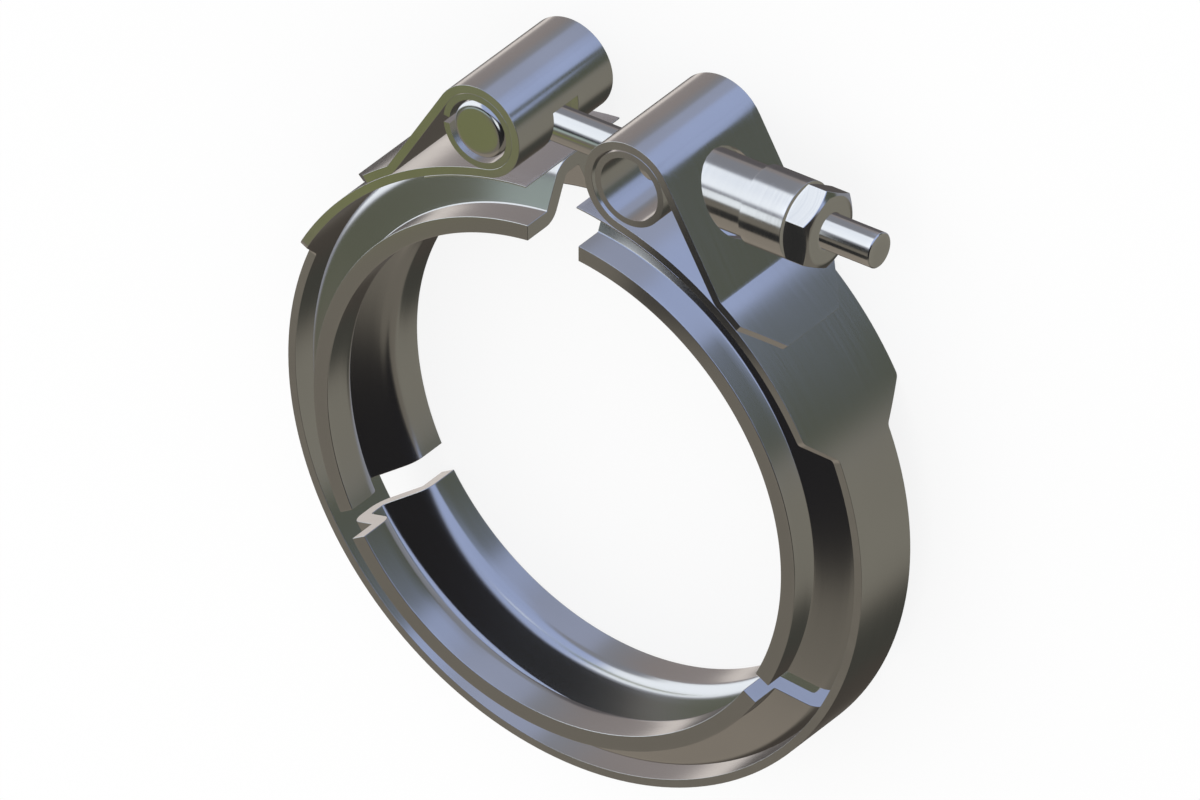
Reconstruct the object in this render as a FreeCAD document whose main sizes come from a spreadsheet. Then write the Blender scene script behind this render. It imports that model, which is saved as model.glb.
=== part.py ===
import FreeCAD, Part
import math
import os
import re
import Sketcher

# V band clamp with a T-bolt.
# The ring's axis is Z and the origin is its centre, halfway through its width.
# The two ends of the band meet at +Y, and the bolt across them runs along X, with its nut at +X.
# Lengths are in millimetres and angles in degrees. Angles are measured from +Y, the top,
# outwards to the side that the point is on, unless a comment says otherwise.

Vector = FreeCAD.Vector

DRIVING_SIZES = {
    # The band: one strip of sheet, its ends folded back to make a loop at each side of the gap
    "band_outer_radius": 50.3,
    "strap_thickness": 1.3,
    "strap_width": 22.3,
    "waist_width": 11.7,
    "shoulder_angle": 61.6,
    "shoulder_length": 4.6,
    "shoulder_fillet": 1.0,
    "left_loop_angle": 13.15,
    "right_loop_angle": 13.7,
    "left_flap_normal": 58.3,
    "right_flap_normal": 60.1,
    "tongue_tip_angle": 46.6,
    "tongue_cut_across": 5.1,
    "tongue_cut_along": 6.1,
    "seat_gap": 0.02,
    # The V section retainers inside the band
    "retainer_width": 21.4,
    "retainer_thickness": 2.5,
    "retainer_depth": 9.01,
    "flange_angle": 25.0,
    "groove_mouth": 12.2,
    "foot_bend_radius": 0.3,
    "crown_bend_radius": 0.8,
    "top_gap": 8.8,
    "lower_gap": 4.2,
    # The thin liners between the retainers and the loops
    "liner_thickness": 0.25,
    "liner_end_angle": 27.0,
    # The rolled tube in the left loop and the trunnion tube in the right one
    "tube_bore_radius": 4.95,
    "tube_wall": 1.0,
    "tube_split": 1.2,
    "loop_play": 0.35,
    "trunnion_shift": 0.2,
    # The T-bolt: a cross pin in the left loop and a shank that passes through both loops
    "pin_clearance": 0.5,
    "pin_recess": 0.05,
    "pin_end_chamfer": 1.0,
    "bolt_drop": 2.1,
    "shank_radius": 2.7,
    "shank_beyond_seat": 13.0,
    "shank_chamfer": 0.25,
    "slot_side_clearance": 0.2,
    "slot_end_clearance": 0.35,
    "slot_rise": 3.4,
    # The sleeve on the shank and the nut behind it
    "sleeve_radius": 5.4,
    "sleeve_clearance": 0.1,
    "sleeve_hole_clearance": 0.5,
    "sleeve_seat_gap": 0.05,
    "sleeve_body_length": 9.1,
    "collar_radius": 5.95,
    "collar_length": 7.2,
    "nut_height": 4.5,
    "nut_across_flats": 11.1,
    "nut_clearance": 0.05,
    "nut_chamfer_angle": 30.0,
}

doc = FreeCAD.newDocument("v_band_clamp")
sheet = doc.addObject("Spreadsheet::Sheet", "Sizes")
for row, (name, size) in enumerate(DRIVING_SIZES.items(), start=1):
    sheet.set(f"A{row}", name)
    sheet.set(f"B{row}", str(size))
    sheet.setAlias(f"B{row}", name)
doc.recompute()

# A bend of the retainers' sheet is drawn as straight runs, with corners at these shares of its turn
WIDE_BEND_CORNERS = (0, 0.5, 1)
TIGHT_BEND_CORNERS = (0, 1)

SIZE_NAME = re.compile(r"\b(" + "|".join(DRIVING_SIZES) + r")\b")

# Lengths that follow from the driving sizes
BAND_INNER_RADIUS = "(band_outer_radius - strap_thickness)"
FLAP_OUTER_RADIUS = "(band_outer_radius + strap_thickness)"
TUBE_OUTER_RADIUS = "(tube_bore_radius + tube_wall)"
LINER_OUTER_RADIUS = f"({BAND_INNER_RADIUS} - seat_gap)"
LINER_INNER_RADIUS = f"({LINER_OUTER_RADIUS} - liner_thickness)"
CROWN_OUTER_RADIUS = f"({LINER_INNER_RADIUS} - seat_gap)"
BORE_RADIUS = f"({CROWN_OUTER_RADIUS} - retainer_depth)"
HALF_SLOT = "(shank_radius + slot_side_clearance)"
ORIGIN = ("0", "0")


def bound(text):
    """Write a formula of size names as an expression on the sheet's cells."""
    return SIZE_NAME.sub(r"Sizes.\1", text)


def number(text):
    """Work out a formula of size names."""
    result = sheet.evalExpression(bound(text))
    return float(getattr(result, "Value", result))


def degrees(text):
    """Give a plain number its unit, so that it can be added to an angle."""
    return f"({text} * 1 deg)"


def from_top(side, radius, angle, centre=ORIGIN):
    """The point at a radius and an angle from +Y, towards side 1 (+X) or -1 (-X)."""
    x = f"({centre[0]} + {side} * {radius} * sin({angle}))"
    y = f"({centre[1]} + {radius} * cos({angle}))"
    return x, y


class Loop:
    """The folded end of the band at one side: a wrap round a tube, then a straight flap."""

    def __init__(self, side, word, angle, flap_normal, wrap_inner_radius):
        self.side = side
        self.word = word
        self.angle = degrees(angle)
        self.normal = degrees(flap_normal)
        self.wrap_inner = wrap_inner_radius
        self.wrap_outer = f"({wrap_inner_radius} + strap_thickness)"
        self.distance = f"({BAND_INNER_RADIUS} + {self.wrap_outer})"
        self.centre = from_top(side, self.distance, self.angle)

    def landing_angle(self, wrap_radius, ring_radius):
        """Where the flap's straight face, tangent to the wrap, meets a circle round the ring."""
        height = f"({self.distance} * cos({self.normal} - {self.angle}) + {wrap_radius})"
        return f"({self.normal} - acos({height} / {ring_radius}))"

    def strip_corners(self):
        """Corners of the strip's edge line, from the ring's inside to the foot of the flap."""
        landing = self.landing_angle(self.wrap_outer, FLAP_OUTER_RADIUS)
        return [
            from_top(self.side, BAND_INNER_RADIUS, self.angle),
            from_top(self.side, self.wrap_outer, self.normal, self.centre),
            from_top(self.side, FLAP_OUTER_RADIUS, landing),
            from_top(self.side, "band_outer_radius", landing),
        ]

    def void_corners(self):
        """Corners of the three-sided hollow between the wrap, the flap and the ring."""
        landing = self.landing_angle(self.wrap_inner, "band_outer_radius")
        return [
            from_top(self.side, "band_outer_radius", self.angle),
            from_top(self.side, self.wrap_inner, self.normal, self.centre),
            from_top(self.side, "band_outer_radius", landing),
        ]


LEFT_LOOP = Loop(-1, "left", "left_loop_angle", "left_flap_normal", f"({TUBE_OUTER_RADIUS} + seat_gap)")
RIGHT_LOOP = Loop(1, "right", "right_loop_angle", "right_flap_normal", f"({TUBE_OUTER_RADIUS} + loop_play)")
LOOPS = (RIGHT_LOOP, LEFT_LOOP)
TRUNNION_CENTRE = (f"({RIGHT_LOOP.centre[0]} + trunnion_shift)",
                   f"({RIGHT_LOOP.centre[1]} + trunnion_shift)")

# Heights and places along the bolt
BOLT_HEIGHT = f"({LEFT_LOOP.centre[1]} - bolt_drop)"
SLOT_BOTTOM = f"({BOLT_HEIGHT} - shank_radius - slot_end_clearance)"
SLOT_TOP = f"({BOLT_HEIGHT} + slot_rise)"
SLEEVE_START = f"({TRUNNION_CENTRE[0]} + {TUBE_OUTER_RADIUS} + sleeve_seat_gap)"
COLLAR_START = f"({SLEEVE_START} + sleeve_body_length)"
NUT_SEAT = f"({COLLAR_START} + collar_length)"
SHANK_END = f"({NUT_SEAT} + shank_beyond_seat)"


def make_body(label):
    body = doc.addObject("PartDesign::Body", label)
    body.Label = label
    return body


def place(body, x, y):
    """Tie a body's origin to a point in the ring's plane."""
    body.setExpression("Placement.Base.x", bound(x))
    body.setExpression("Placement.Base.y", bound(y))


def make_sketch(body, label, plane_role, turn=None, shift=None):
    """Add a sketch on one of the body's own planes, turned about its local Y or shifted along Z."""
    sketch = body.newObject("Sketcher::SketchObject", label)
    plane = next(item for item in body.Origin.OriginFeatures if item.Role == plane_role)
    sketch.AttachmentSupport = [(plane, "")]
    sketch.MapMode = "FlatFace"
    if turn is not None:
        rotation = FreeCAD.Rotation(Vector(0, 1, 0), number(turn))
        sketch.AttachmentOffset = FreeCAD.Placement(Vector(), rotation)
    if shift is not None:
        sketch.setExpression("AttachmentOffset.Base.z", bound(shift))
    return sketch


def add_dimension(sketch, kind, *arguments, text):
    """Add a dimension to a sketch and bind it to the sheet."""
    index = sketch.addConstraint(Sketcher.Constraint(kind, *arguments, number(text)))
    sketch.setExpression(f"Constraints[{index}]", bound(text))


def draw_outline(sketch, corners, arcs=None):
    """Draw a closed outline through corners, each a pair of formulas.

    arcs maps the number of the corner where an arc starts to its centre, its radius
    and its turn: 1 for counter-clockwise, -1 for clockwise. Other edges are straight.
    """
    arcs = arcs or {}
    points = [Vector(number(x), number(y), 0) for x, y in corners]
    edges = []
    for index, start in enumerate(points):
        finish = points[(index + 1) % len(points)]
        if index not in arcs:
            edge = sketch.addGeometry(Part.LineSegment(start, finish), False)
            edges.append((edge, 1, 2))
            continue
        centre_text, radius, turn = arcs[index]
        centre = Vector(number(centre_text[0]), number(centre_text[1]), 0)
        first, last = (start, finish) if turn > 0 else (finish, start)
        begin = math.atan2(first.y - centre.y, first.x - centre.x)
        end = math.atan2(last.y - centre.y, last.x - centre.x)
        if end <= begin:
            end += 2 * math.pi
        circle = Part.Circle(centre, Vector(0, 0, 1), number(radius))
        edge = sketch.addGeometry(Part.ArcOfCircle(circle, begin, end), False)
        add_dimension(sketch, "Radius", edge, text=radius)
        edges.append((edge, 1, 2) if turn > 0 else (edge, 2, 1))
    for index, (edge, first_end, last_end) in enumerate(edges):
        next_edge, next_end, _ = edges[(index + 1) % len(edges)]
        sketch.addConstraint(Sketcher.Constraint("Coincident", edge, last_end, next_edge, next_end))
        add_dimension(sketch, "DistanceX", -1, 1, edge, first_end, text=corners[index][0])
        add_dimension(sketch, "DistanceY", -1, 1, edge, first_end, text=corners[index][1])


def draw_circle(sketch, centre, radius):
    middle = Vector(number(centre[0]), number(centre[1]), 0)
    circle = sketch.addGeometry(Part.Circle(middle, Vector(0, 0, 1), number(radius)), False)
    add_dimension(sketch, "Radius", circle, text=radius)
    add_dimension(sketch, "DistanceX", -1, 1, circle, 3, text=centre[0])
    add_dimension(sketch, "DistanceY", -1, 1, circle, 3, text=centre[1])


def draw_rectangle(sketch, low, high):
    draw_outline(sketch, [(low[0], low[1]), (high[0], low[1]), (high[0], high[1]), (low[0], high[1])])


def pad(body, sketch, length, both_ways=False):
    feature = body.newObject("PartDesign::Pad", f"{sketch.Name}_pad")
    feature.Profile = sketch
    feature.Midplane = both_ways
    feature.setExpression("Length", bound(length))
    doc.recompute()
    return feature


def check_cut(body, feature, volume_before):
    """A cut that points away from the body takes nothing off and reports no error."""
    doc.recompute()
    if body.Shape.Volume > volume_before - 1e-6:
        raise RuntimeError(f"{feature.Name} cuts nothing")


def pocket(body, sketch, length=None, towards_normal=False, both_ways=False):
    """Cut a sketch's outline out of the body, to a length or right through."""
    volume_before = body.Shape.Volume
    feature = body.newObject("PartDesign::Pocket", f"{sketch.Name}_pocket")
    feature.Profile = sketch
    feature.Reversed = towards_normal
    feature.Midplane = both_ways
    if length is None:
        feature.Type = "ThroughAll"
    else:
        feature.setExpression("Length", bound(length))
    check_cut(body, feature, volume_before)
    return feature


def turned(body, kind, sketch, axis, angle=360):
    """Revolve a sketch about one of its own axes, as a solid (Revolution) or a cut (Groove)."""
    volume_before = body.Shape.Volume if kind == "Groove" else None
    feature = body.newObject(f"PartDesign::{kind}", f"{sketch.Name}_{kind.lower()}")
    feature.Profile = sketch
    feature.ReferenceAxis = (sketch, [axis])
    feature.Angle = angle
    feature.Midplane = angle < 360
    doc.recompute()
    if kind == "Groove":
        check_cut(body, feature, volume_before)
    return feature


def dress_edges(body, kind, base, wanted, size_property, size):
    """Round (Fillet) or bevel (Chamfer) the edges of a feature that pass a test."""
    names = [f"Edge{index}" for index, edge in enumerate(base.Shape.Edges, start=1) if wanted(edge)]
    feature = body.newObject(f"PartDesign::{kind}", f"{base.Name}_{kind.lower()}")
    feature.Base = (base, names)
    feature.setExpression(size_property, bound(size))
    doc.recompute()
    return feature


def runs_along_x(edge):
    return isinstance(edge.Curve, Part.Line) and abs(edge.Curve.Direction.x) > 0.999


def make_outer_band():
    """The folded strip: the ring, a loop and a flap at each end, and the flap's welded tongue."""
    body = make_body("outer_band")

    # The tongues come first, so that cutting their corners leaves the ring whole
    tongues = make_sketch(body, "tongues", "XY_Plane")
    tip = degrees("tongue_tip_angle")
    for loop in LOOPS:
        landing = loop.landing_angle(loop.wrap_outer, FLAP_OUTER_RADIUS)
        draw_outline(tongues, [
            from_top(loop.side, "band_outer_radius", tip),
            from_top(loop.side, "band_outer_radius", landing),
            from_top(loop.side, FLAP_OUTER_RADIUS, landing),
            from_top(loop.side, FLAP_OUTER_RADIUS, tip),
        ], {0: (ORIGIN, "band_outer_radius", loop.side), 2: (ORIGIN, FLAP_OUTER_RADIUS, -loop.side)})
    pad(body, tongues, "strap_width", both_ways=True)

    # Each tongue's corners are cut square to the sheet, in a plane turned to face its tip
    clear = "strap_thickness"
    slope = "tongue_cut_across / tongue_cut_along"
    for loop in LOOPS:
        cut = make_sketch(body, f"{loop.word}_tongue_corners", "XZ_Plane",
                          turn=f"-1 * {loop.side} * tongue_tip_angle")
        for end in (1, -1):
            draw_outline(cut, [
                (f"-1 * {loop.side} * tongue_cut_along", f"{end} * strap_width / 2"),
                (f"{loop.side} * {clear}",
                 f"{end} * (strap_width / 2 - tongue_cut_across - {clear} * {slope})"),
                (f"{loop.side} * {clear}", f"{end} * strap_width"),
                (f"-1 * {loop.side} * tongue_cut_along", f"{end} * strap_width"),
            ])
        pocket(body, cut)

    # The strip seen from its edge: the ring, open at the top, with a wrap and a flap at each end
    strip = make_sketch(body, "strip", "XY_Plane")
    draw_outline(strip, RIGHT_LOOP.strip_corners() + LEFT_LOOP.strip_corners()[::-1], {
        0: (RIGHT_LOOP.centre, RIGHT_LOOP.wrap_outer, -1),
        3: (ORIGIN, "band_outer_radius", -1),
        6: (LEFT_LOOP.centre, LEFT_LOOP.wrap_outer, -1),
        7: (ORIGIN, BAND_INNER_RADIUS, 1),
    })
    for loop in LOOPS:
        draw_outline(strip, loop.void_corners(), {
            0: (loop.centre, loop.wrap_inner, -loop.side),
            2: (ORIGIN, "band_outer_radius", loop.side),
        })
    pad(body, strip, "strap_width", both_ways=True)

    # Below the shoulders the strip narrows to its waist
    shoulder = "(band_outer_radius * cos(shoulder_angle))"
    narrow = f"({shoulder} - shoulder_length)"
    waist = make_sketch(body, "waist", "YZ_Plane")
    for end in (1, -1):
        draw_outline(waist, [
            ("-2 * band_outer_radius", f"{end} * waist_width / 2"),
            (narrow, f"{end} * waist_width / 2"),
            (shoulder, f"{end} * strap_width / 2"),
            (shoulder, f"{end} * strap_width"),
            ("-2 * band_outer_radius", f"{end} * strap_width"),
        ])
    waist_cut = pocket(body, waist, both_ways=True)
    corner_heights = (number(shoulder), number(narrow))
    dress_edges(body, "Fillet", waist_cut, lambda edge: runs_along_x(edge) and any(
        abs(edge.Vertexes[0].Y - height) < 1e-4 for height in corner_heights), "Radius", "shoulder_fillet")

    # The shank passes through a slot in the gap side of each wrap
    for loop in LOOPS:
        slot = make_sketch(body, f"{loop.word}_shank_slot", "YZ_Plane")
        draw_rectangle(slot, (SLOT_BOTTOM, f"-{HALF_SLOT}"), (SLOT_TOP, HALF_SLOT))
        pocket(body, slot, f"{loop.side} * {loop.centre[0]}", towards_normal=loop.side > 0)

    # The sleeve passes through a round hole in the right flap
    hole = make_sketch(body, "sleeve_hole", "YZ_Plane", shift=f"{SLEEVE_START} - tube_wall * 1.2")
    draw_circle(hole, (BOLT_HEIGHT, "0"), "(sleeve_radius + sleeve_hole_clearance)")
    pocket(body, hole, towards_normal=True)
    return body


def make_retainer(label, middle_angle, gap_before, gap_after):
    """A third of the V section ring, with each end cut parallel to the middle of its gap.

    middle_angle is counter-clockwise from +X, and so is the order of the two gaps.
    """
    body = make_body(label)
    half = "(retainer_thickness / 2)"
    half_turn = "((90 - flange_angle) / 2)"

    # Middle line of the section: along the foot, up the flange and across the crown
    foot_middle = f"({BORE_RADIUS} + {half})"
    crown_middle = f"({CROWN_OUTER_RADIUS} - {half})"
    foot_corner = f"(groove_mouth / 2 - {half} * tan({half_turn}))"
    crown_corner = f"({foot_corner} - ({crown_middle} - {foot_middle}) * tan(flange_angle))"

    # Both faces of a bend share one centre
    foot_reach = f"({half} + foot_bend_radius)"
    foot_centre = (f"({foot_middle} + {foot_reach})",
                   f"({foot_corner} + {foot_reach} * tan({half_turn}))")
    crown_reach = f"({half} + crown_bend_radius)"
    crown_centre = (f"({crown_middle} - {crown_reach})",
                    f"({crown_corner} - {crown_reach} * tan({half_turn}))")

    def bend(centre, side, radius, shares):
        """Corners of a bend's straight runs, from the level side to the flange."""
        corners = []
        for share in shares:
            turn = f"((90 - flange_angle) * {share})"
            corners.append((f"({centre[0]} + {side} * {radius} * cos({turn}))",
                            f"({centre[1]} + {side} * {radius} * sin({turn}))"))
        return corners

    def face(foot_bend, foot_corners, crown_bend, crown_corners):
        """Corners of one face of the sheet, from the foot's edge to the crown."""
        edge = (f"({foot_centre[0]} - {foot_bend})", "(retainer_width / 2)")
        foot = bend(foot_centre, -1, foot_bend, foot_corners)
        crown = bend(crown_centre, 1, crown_bend, crown_corners)
        return [edge] + foot + crown[::-1]

    def mirrored(points):
        return [(radius, f"(-1 * {height})") for radius, height in points]

    outside = face("foot_bend_radius", TIGHT_BEND_CORNERS,
                   "(crown_bend_radius + retainer_thickness)", WIDE_BEND_CORNERS)
    inside = face("(foot_bend_radius + retainer_thickness)", WIDE_BEND_CORNERS,
                  "crown_bend_radius", TIGHT_BEND_CORNERS)
    section = make_sketch(body, f"{label}_section", "XZ_Plane")
    draw_outline(section, outside + mirrored(outside)[::-1] + mirrored(inside) + inside[::-1])
    third = 120
    turned(body, "Revolution", section, "V_Axis", third)

    ends = make_sketch(body, f"{label}_ends", "XY_Plane")
    for end, gap in ((-1, gap_before), (1, gap_after)):
        def at(along, inwards):
            x = f"({along} * cos({third / 2}) + {inwards} * sin({third / 2}))"
            y = f"({end} * ({along} * sin({third / 2}) - {inwards} * cos({third / 2})))"
            return x, y
        near, far = f"({BORE_RADIUS} / 2)", f"(2 * {BORE_RADIUS})"
        draw_outline(ends, [at(near, f"(-1 * {gap})"), at(far, f"(-1 * {gap})"),
                            at(far, f"({gap} / 2)"), at(near, f"({gap} / 2)")])
    pocket(body, ends, both_ways=True)
    body.Placement = FreeCAD.Placement(Vector(), FreeCAD.Rotation(Vector(0, 0, 1), middle_angle))
    return body


def make_liner(loop):
    """A thin curved plate under a loop, ending flush with the retainer's end."""
    body = make_body(f"liner_{loop.word}")
    end = degrees("liner_end_angle")

    def at_gap(radius):
        return f"({loop.side} * top_gap / 2)", f"sqrt({radius} ^ 2 - (top_gap / 2) ^ 2)"

    edge_line = make_sketch(body, f"liner_{loop.word}_edge", "XY_Plane")
    draw_outline(edge_line, [
        at_gap(LINER_OUTER_RADIUS),
        from_top(loop.side, LINER_OUTER_RADIUS, end),
        from_top(loop.side, LINER_INNER_RADIUS, end),
        at_gap(LINER_INNER_RADIUS),
    ], {0: (ORIGIN, LINER_OUTER_RADIUS, -loop.side), 2: (ORIGIN, LINER_INNER_RADIUS, loop.side)})
    pad(body, edge_line, "strap_width", both_ways=True)
    return body


def make_split_tube():
    """The rolled tube that lines the left loop, its seam open on the side away from the nut."""
    body = make_body("split_tube")
    place(body, *LEFT_LOOP.centre)
    half_seam = f"asin(tube_split / 2 / {TUBE_OUTER_RADIUS})"
    upper, lower = f"(90 deg - {half_seam})", f"(90 deg + {half_seam})"
    ring = make_sketch(body, "split_ring", "XY_Plane")
    draw_outline(ring, [
        from_top(-1, TUBE_OUTER_RADIUS, upper),
        from_top(-1, TUBE_OUTER_RADIUS, lower),
        from_top(-1, "tube_bore_radius", lower),
        from_top(-1, "tube_bore_radius", upper),
    ], {0: (ORIGIN, TUBE_OUTER_RADIUS, -1), 2: (ORIGIN, "tube_bore_radius", 1)})
    pad(body, ring, "strap_width", both_ways=True)

    slot = make_sketch(body, "split_tube_slot", "YZ_Plane")
    height = LEFT_LOOP.centre[1]
    draw_rectangle(slot, (f"({SLOT_BOTTOM} - {height})", f"-{HALF_SLOT}"),
                   (f"({SLOT_TOP} - {height})", HALF_SLOT))
    pocket(body, slot, towards_normal=True)
    return body


def make_trunnion_tube():
    """The whole tube in the right loop, which the sleeve bears on and the shank passes through."""
    body = make_body("trunnion_tube")
    place(body, *TRUNNION_CENTRE)
    ring = make_sketch(body, "trunnion_ring", "XY_Plane")
    draw_circle(ring, ORIGIN, TUBE_OUTER_RADIUS)
    draw_circle(ring, ORIGIN, "tube_bore_radius")
    pad(body, ring, "strap_width", both_ways=True)

    cross_hole = make_sketch(body, "cross_hole", "YZ_Plane")
    draw_circle(cross_hole, (f"({BOLT_HEIGHT} - {TRUNNION_CENTRE[1]})", "0"), HALF_SLOT)
    pocket(body, cross_hole, both_ways=True)
    return body


def make_t_bolt():
    """The cross pin that turns in the split tube, and the shank that grows out of it."""
    body = make_body("t_bolt")
    place(body, *LEFT_LOOP.centre)
    pin_round = make_sketch(body, "pin_round", "XY_Plane")
    draw_circle(pin_round, ORIGIN, "(tube_bore_radius - pin_clearance)")
    pin = pad(body, pin_round, "(strap_width - 2 * pin_recess)", both_ways=True)
    dress_edges(body, "Chamfer", pin, lambda edge: isinstance(edge.Curve, Part.Circle),
                "Size", "pin_end_chamfer")

    shank_round = make_sketch(body, "shank_round", "YZ_Plane")
    draw_circle(shank_round, ("(-1 * bolt_drop)", "0"), "shank_radius")
    shank = pad(body, shank_round, f"({SHANK_END} - {LEFT_LOOP.centre[0]})")
    end_x = number(f"{SHANK_END} - {LEFT_LOOP.centre[0]}")
    dress_edges(body, "Chamfer", shank, lambda edge: isinstance(edge.Curve, Part.Circle)
                and abs(edge.Curve.Center.x - end_x) < 1e-4, "Size", "shank_chamfer")
    return body


def make_sleeve():
    """The turned spacer between the trunnion tube and the nut, thicker at the nut's end."""
    body = make_body("sleeve")
    place(body, "0", BOLT_HEIGHT)
    bore = "(shank_radius + sleeve_clearance)"
    half_section = make_sketch(body, "sleeve_section", "XY_Plane")
    draw_outline(half_section, [
        (SLEEVE_START, bore),
        (NUT_SEAT, bore),
        (NUT_SEAT, "collar_radius"),
        (COLLAR_START, "collar_radius"),
        (COLLAR_START, "sleeve_radius"),
        (SLEEVE_START, "sleeve_radius"),
    ])
    turned(body, "Revolution", half_section, "H_Axis")
    return body


def make_nut():
    """A plain hexagon nut, bevelled at both ends, with a corner towards +Y."""
    body = make_body("nut")
    place(body, NUT_SEAT, BOLT_HEIGHT)
    hexagon = make_sketch(body, "nut_hexagon", "YZ_Plane")
    corner_radius = "(nut_across_flats / 2 / cos(30))"
    draw_outline(hexagon, [(f"({corner_radius} * cos({angle}))", f"({corner_radius} * sin({angle}))")
                           for angle in range(0, 360, 60)])
    pad(body, hexagon, "nut_height")

    bevels = make_sketch(body, "nut_bevels", "XY_Plane")
    flat_radius = "(nut_across_flats / 2)"
    reach = f"(({corner_radius} - {flat_radius}) * 2)"
    depth = f"({reach} * tan(nut_chamfer_angle))"
    for face_x, inwards in (("0", 1), ("nut_height", -1)):
        draw_outline(bevels, [
            (f"({face_x} - {inwards} * {depth})", flat_radius),
            (face_x, flat_radius),
            (f"({face_x} + {inwards} * {depth})", f"({flat_radius} + {reach})"),
            (f"({face_x} - {inwards} * {depth})", f"({flat_radius} + {reach})"),
        ])
    turned(body, "Groove", bevels, "H_Axis")

    bore = make_sketch(body, "nut_bore", "YZ_Plane")
    draw_circle(bore, ORIGIN, "(shank_radius + nut_clearance)")
    pocket(body, bore, towards_normal=True)
    return body


sub_parts = [
    make_outer_band(),
    make_retainer("retainer_right", 30, "lower_gap", "top_gap"),
    make_retainer("retainer_left", 150, "top_gap", "lower_gap"),
    make_retainer("retainer_lower", 270, "lower_gap", "lower_gap"),
    make_liner(LEFT_LOOP),
    make_liner(RIGHT_LOOP),
    make_split_tube(),
    make_trunnion_tube(),
    make_t_bolt(),
    make_sleeve(),
    make_nut(),
]
doc.recompute()

for item in doc.Objects:
    if "Invalid" in item.State or "Error" in item.State:
        raise RuntimeError(f"{item.Name} is {item.State}")
for body in sub_parts:
    if body.Shape.isNull() or not body.Shape.isValid():
        raise RuntimeError(f"{body.Label} has no valid shape")

os.makedirs("parts", exist_ok=True)
for body in sub_parts:
    body.Shape.exportStep(os.path.join("parts", f"{body.Label}.step"))
    box = body.Shape.BoundBox
    print(f"{body.Label}: {len(body.Shape.Solids)} solid, volume {body.Shape.Volume:.1f} mm3, "
          f"x {box.XMin:.2f} to {box.XMax:.2f}, y {box.YMin:.2f} to {box.YMax:.2f}, "
          f"z {box.ZMin:.2f} to {box.ZMax:.2f}")
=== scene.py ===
import bmesh
import bpy
import numpy as np
from mathutils import Matrix, Vector


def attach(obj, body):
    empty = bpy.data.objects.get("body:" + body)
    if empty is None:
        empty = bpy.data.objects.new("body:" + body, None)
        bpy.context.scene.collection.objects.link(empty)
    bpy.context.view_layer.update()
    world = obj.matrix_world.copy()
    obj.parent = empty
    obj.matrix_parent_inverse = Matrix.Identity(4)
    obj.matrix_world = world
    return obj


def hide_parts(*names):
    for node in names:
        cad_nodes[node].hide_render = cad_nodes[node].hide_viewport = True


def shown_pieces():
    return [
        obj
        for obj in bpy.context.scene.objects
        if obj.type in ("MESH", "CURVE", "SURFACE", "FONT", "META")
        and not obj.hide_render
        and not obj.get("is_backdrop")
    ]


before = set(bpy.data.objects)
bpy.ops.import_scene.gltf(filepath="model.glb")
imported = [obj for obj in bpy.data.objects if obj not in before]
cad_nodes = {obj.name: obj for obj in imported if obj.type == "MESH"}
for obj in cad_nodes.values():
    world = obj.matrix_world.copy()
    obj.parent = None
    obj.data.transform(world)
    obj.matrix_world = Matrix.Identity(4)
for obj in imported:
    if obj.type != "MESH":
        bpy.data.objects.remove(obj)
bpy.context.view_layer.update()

MM = 0.001

# The strap's sizes in millimetres, as the CAD source has them
BAND_OUTER = 50.3
STRAP_THICK = 1.3
STRAP_HALF = 11.15
WAIST_HALF = 5.85
SHOULDER_Y = 23.92
NARROW_Y = 19.32
SHOULDER_FILLET = 1.0
TONGUE_TIP = 46.6
TONGUE_CUT_ACROSS = 5.1
TONGUE_CUT_ALONG = 6.1
KINK_RADIUS = 2.0
BOLT_Y = 52.6945
SLOT_LOW = 49.6445
SLOT_HIGH = 56.0945
SLOT_HALF = 2.9
SLEEVE_HOLE = 5.9
LEFT_CENTRE = (-12.8014, 54.7945)
RING_MID = BAND_OUTER - STRAP_THICK / 2
TONGUE_MID = BAND_OUTER + STRAP_THICK / 2

# Each loop: its centre's angle from the top, its flap's angle and the wrap's outer radius
RIGHT_LOOP = (13.7, 60.1, 7.6)
LEFT_LOOP = (13.15, 58.3, 7.27)

# The usual radius of a rounded edge, and the turn in degrees from which an edge is sharp
EDGE_ROUND = 0.14
SHARP_ANGLE = 32

# In metres: points this close are one point, and edges this short are taken out
SEAM_WITHIN = 2e-6
TINY_EDGE = 1e-6


# ---------------------------------------------------------------- mesh helpers

def grid_faces(rows, columns, start=0, keep=None):
    """Quads between neighbouring rows and columns of a grid of points, where keep is true."""
    index = np.arange(rows * columns).reshape(rows, columns) + start
    quads = np.stack([index[:-1, :-1], index[1:, :-1], index[1:, 1:], index[:-1, 1:]], axis=-1)
    return quads.reshape(-1, 4) if keep is None else quads[keep]


def grid(points, uv):
    """One surface from a grid of points and its grid of surface coordinates."""
    rows, columns = points.shape[:2]
    return points.reshape(-1, 3), uv.reshape(-1, 2), grid_faces(rows, columns)


def join(parts):
    """Several (points, surface coordinates, faces) as one."""
    offsets = np.cumsum([0] + [len(points) for points, _, _ in parts])
    return (np.concatenate([points for points, _, _ in parts]),
            np.concatenate([uv for _, uv, _ in parts]),
            np.concatenate([faces + offset for (_, _, faces), offset in zip(parts, offsets)]))


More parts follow.
